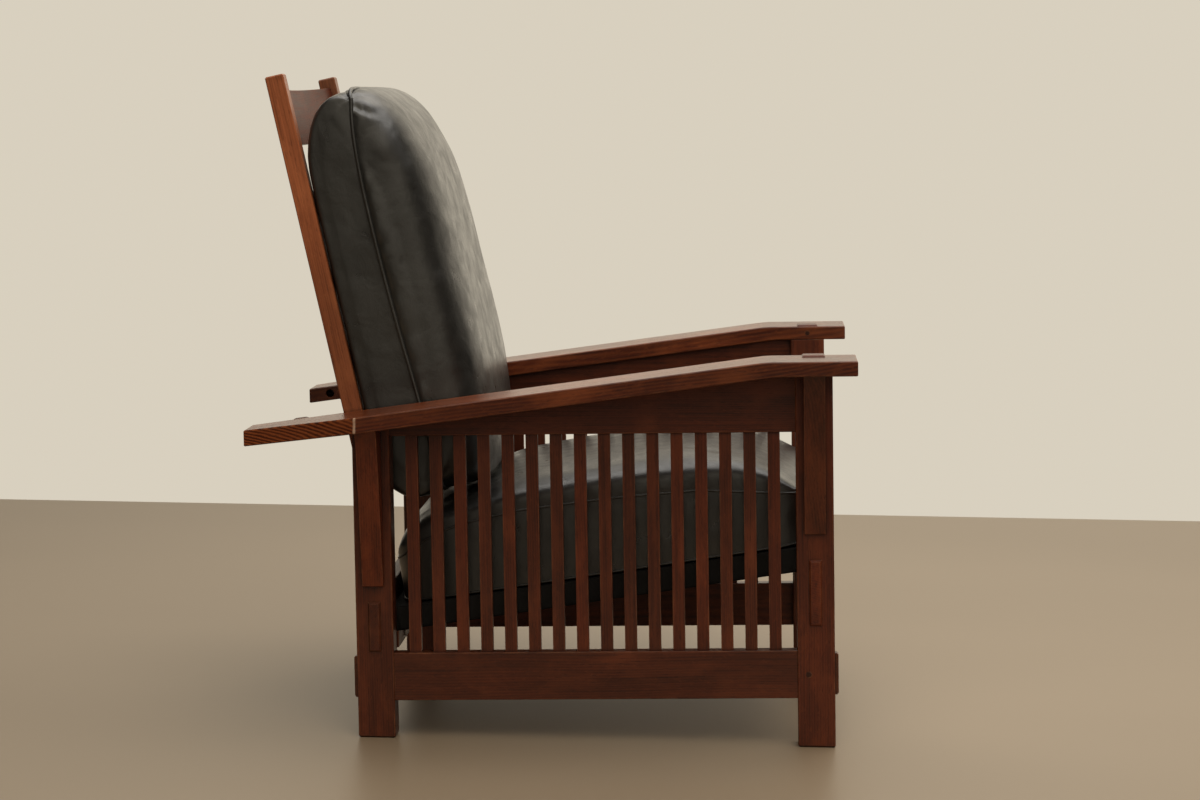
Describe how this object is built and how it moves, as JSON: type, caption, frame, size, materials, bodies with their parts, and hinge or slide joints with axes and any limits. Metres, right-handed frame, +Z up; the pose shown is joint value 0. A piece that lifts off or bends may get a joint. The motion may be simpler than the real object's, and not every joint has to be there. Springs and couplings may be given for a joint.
{
  "type": "reclining armchair",
  "caption": "Wide oak armchair with slatted sides, flat sloping arms, loose black leather cushions and a hinged back that leans on two movable pegs.",
  "frame": {"origin": "on the floor under the middle of the overall box: midway between the arms' outer edges and midway between the arms' front and rear tips", "axes": "+Z up, the front of the chair faces -Y, +X is towards the sitter's left arm"},
  "size_m": [0.838, 0.9272, 1.0165],
  "materials": {
    "stained_oak": "satin",
    "bare_oak": "matte",
    "black_leather": "satin",
    "deck_cloth": "matte",
    "jute_webbing": "matte",
    "screw_steel": "satin"
  },
  "bodies": {
    "base": {"right_front_leg": "stained_oak", "left_front_leg": "stained_oak", "right_rear_leg": "stained_oak", "left_rear_leg": "stained_oak", "right_lower_side_rail": "stained_oak", "left_lower_side_rail": "stained_oak", "right_upper_side_rail": "stained_oak", "left_upper_side_rail": "stained_oak", "right_side_slats": "stained_oak", "left_side_slats": "stained_oak", "right_arm": "stained_oak", "left_arm": "stained_oak", "right_front_corbel": "stained_oak", "left_front_corbel": "stained_oak", "right_rear_corbel": "stained_oak", "left_rear_corbel": "stained_oak", "right_tenon_pin": "stained_oak", "left_tenon_pin": "stained_oak", "right_arm_pin": "stained_oak", "left_arm_pin": "stained_oak", "right_hinge_pin": "stained_oak", "left_hinge_pin": "stained_oak", "right_hinge_washer": "stained_oak", "left_hinge_washer": "stained_oak", "front_seat_rail": "stained_oak", "rear_seat_rail": "stained_oak", "front_seat_cleat": "bare_oak", "rear_seat_cleat": "bare_oak", "deck_front_rail": "bare_oak", "deck_rear_rail": "bare_oak", "deck_right_rail": "bare_oak", "deck_left_rail": "bare_oak", "front_cleat_screws": "screw_steel", "rear_cleat_screws": "screw_steel", "deck_long_straps": "jute_webbing", "deck_cross_straps": "jute_webbing", "deck_cover": "deck_cloth", "seat_cushion": "black_leather"},
    "back": {"right_back_post": "stained_oak", "left_back_post": "stained_oak", "crest_rail": "stained_oak", "back_slat_1": "stained_oak", "back_slat_2": "stained_oak", "back_slat_3": "stained_oak", "back_slat_4": "stained_oak", "back_cushion": "black_leather"},
    "right_peg_body": {"right_peg": "stained_oak"},
    "left_peg_body": {"left_peg": "stained_oak"}
  },
  "joints": [
    {"name": "back_recline", "type": "hinge", "parent": "base", "child": "back", "pos_m": [0, 0.27115, 0.3466], "axis": [-1, 0, 0], "range_deg": [0, 23.1]},
    {"name": "right_peg_pull", "type": "slide", "parent": "base", "child": "right_peg_body", "axis": [1, 0, 0], "range_m": [0, 0.055]},
    {"name": "left_peg_pull", "type": "slide", "parent": "base", "child": "left_peg_body", "axis": [-1, 0, 0], "range_m": [0, 0.055]}
  ]
}
